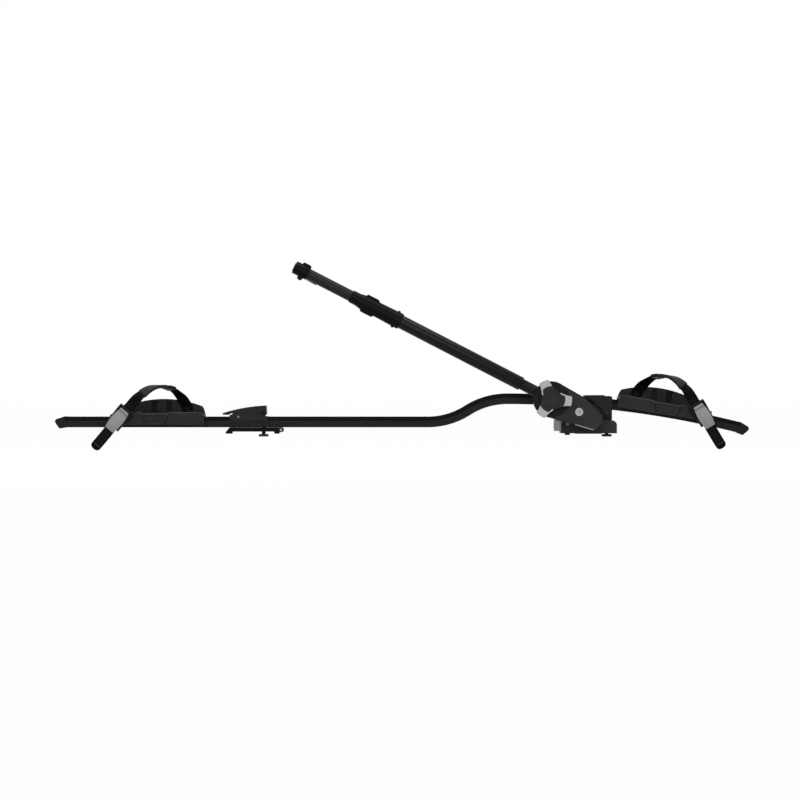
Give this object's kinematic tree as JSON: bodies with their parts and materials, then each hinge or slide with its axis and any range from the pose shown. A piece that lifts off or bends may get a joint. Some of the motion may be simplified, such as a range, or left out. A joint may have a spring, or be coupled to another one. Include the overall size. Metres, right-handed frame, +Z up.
{
  "type": "roof mounted bike carrier",
  "caption": "Roof mounted bike carrier: bent rail with strapped wheel trays, quick-release bar feet and a folding frame holder whose dial closes the jaws.",
  "frame": {"origin": "on the roof bar, under the middle of the front foot's rubber pad", "axes": "+X along the rail to the front end, +Y across it away from the arm, +Z up"},
  "size_m": [1.455, 0.177, 0.3939],
  "materials": {
    "anodised_black": "satin anodised",
    "tube_black": "soft gloss",
    "tube_satin": "satin",
    "moulded_black": "fine grain",
    "lever_black": "satin grain",
    "cover_grey": "satin",
    "grip_grey": "satin",
    "buckle_grey": "satin",
    "strap_black": "soft matte",
    "strap_pad_grey": "soft matte",
    "rubber_black": "matte",
    "bearing_grey": "smooth",
    "steel": "zinc plated",
    "dark_steel": "blackened",
    "lock_metal": "satin nickel"
  },
  "bodies": {
    "carrier": {"rail": "anodised_black", "rear_end_cap": "moulded_black", "front_end_cap": "moulded_black", "front_tray": "moulded_black", "front_strap": "strap_black", "front_strap_pad": "strap_pad_grey", "front_strap_pin": "dark_steel", "front_buckle_base": "moulded_black", "front_buckle_pin": "dark_steel", "front_foot": "moulded_black", "front_foot_pad": "rubber_black", "front_saddle": "moulded_black", "front_lever_pin": "dark_steel", "front_t_bolt": "dark_steel", "knob_bolt": "dark_steel", "hinge_pin": "steel"},
    "rear_wheel_holder": {"rear_tray": "moulded_black", "rear_strap": "strap_black", "rear_strap_pad": "strap_pad_grey", "rear_strap_pin": "dark_steel", "rear_buckle_base": "moulded_black", "rear_buckle_pin": "dark_steel"},
    "rear_buckle": {"rear_buckle_lever": "buckle_grey"},
    "front_buckle": {"front_buckle_lever": "buckle_grey"},
    "rear_clamp": {"rear_foot": "moulded_black", "rear_foot_pads": "rubber_black", "rear_saddle": "moulded_black", "rear_lever_pin": "dark_steel", "rear_t_bolt": "dark_steel", "rear_hook_pin": "steel"},
    "rear_release": {"rear_lever": "lever_black"},
    "front_release": {"front_lever": "lever_black"},
    "hand_knob": {"foot_knob": "grip_grey"},
    "arm": {"arm_housing": "moulded_black", "housing_cover": "cover_grey", "cover_screws": "steel", "hinge_bushes": "bearing_grey", "arm_tube": "tube_black", "tube_neck": "moulded_black", "jaw_collar": "lever_black", "lower_jaw": "lever_black", "lower_jaw_pad": "rubber_black", "slide_bush": "bearing_grey", "screw_bearing": "bearing_grey", "dial_bush": "bearing_grey", "lock_barrel": "lock_metal"},
    "dial": {"dial": "cover_grey", "dial_grips": "grip_grey", "dial_shaft": "steel", "clutch_spring": "steel", "drive_gear": "steel"},
    "screw": {"lead_screw": "steel", "screw_gear": "steel"},
    "moving_jaw": {"upper_tube": "tube_satin", "upper_jaw": "lever_black", "upper_jaw_pad": "rubber_black", "tube_cap": "moulded_black", "jaw_bolt": "dark_steel", "screw_nut": "bearing_grey"},
    "lock_core": {"lock_core": "lock_metal"}
  },
  "joints": [
    {"name": "arm_fold", "type": "hinge", "parent": "carrier", "child": "arm", "pos_m": [0.0066, -0.075, 0.027], "axis": [0, 1, 0], "range_deg": [-22.5, 55]},
    {"name": "dial_turn", "type": "hinge", "parent": "arm", "child": "dial", "pos_m": [-0.08048, -0.11, 0.07195], "axis": [0, 1, 0], "range_deg": [0, 1440]},
    {"name": "screw_spin", "type": "hinge", "parent": "arm", "child": "screw", "pos_m": [-0.08048, -0.075, 0.07195], "axis": [-0.8886, 0, 0.4587], "range_deg": [0, 1440]},
    {"name": "jaw_slide", "type": "slide", "parent": "arm", "child": "moving_jaw", "axis": [0.8886, 0, -0.4587], "range_m": [0, 0.08]},
    {"name": "lock_turn", "type": "hinge", "parent": "arm", "child": "lock_core", "pos_m": [-0.02313, -0.09, 0.04572], "axis": [0, 1, 0], "range_deg": [0, 90]},
    {"name": "front_lever_lift", "type": "hinge", "parent": "carrier", "child": "front_release", "pos_m": [0.039, 0, 0.043], "axis": [0, 1, 0], "range_deg": [0, 50]},
    {"name": "rear_lever_lift", "type": "hinge", "parent": "rear_clamp", "child": "rear_release", "pos_m": [-0.681, 0, 0.0443], "axis": [0, 1, 0], "range_deg": [0, 90]},
    {"name": "knob_turn", "type": "hinge", "parent": "carrier", "child": "hand_knob", "pos_m": [-0.043, 0.009, 0.018], "axis": [0, 0, 1], "continuous": true},
    {"name": "rear_foot_slide", "type": "slide", "parent": "carrier", "child": "rear_clamp", "axis": [1, 0, 0], "range_m": [-0.02, 0.11]},
    {"name": "rear_tray_slide", "type": "slide", "parent": "carrier", "child": "rear_wheel_holder", "axis": [1, 0, 0], "range_m": [-0.08, 0.012]},
    {"name": "rear_buckle_lift", "type": "hinge", "parent": "rear_wheel_holder", "child": "rear_buckle", "pos_m": [-0.96998, -0.0569, 0.0462], "axis": [-0.7627, 0, 0.6468], "range_deg": [0, 60]},
    {"name": "front_buckle_lift", "type": "hinge", "parent": "carrier", "child": "front_buckle", "pos_m": [0.22757, -0.0569, 0.05679], "axis": [-0.8557, 0, -0.5174], "range_deg": [0, 60]}
  ],
  "couplings": [
    {"joint": "screw_spin", "follows": "dial_turn", "ratio": 1},
    {"joint": "jaw_slide", "follows": "dial_turn", "m_per_rad": 0.0031831}
  ]
}
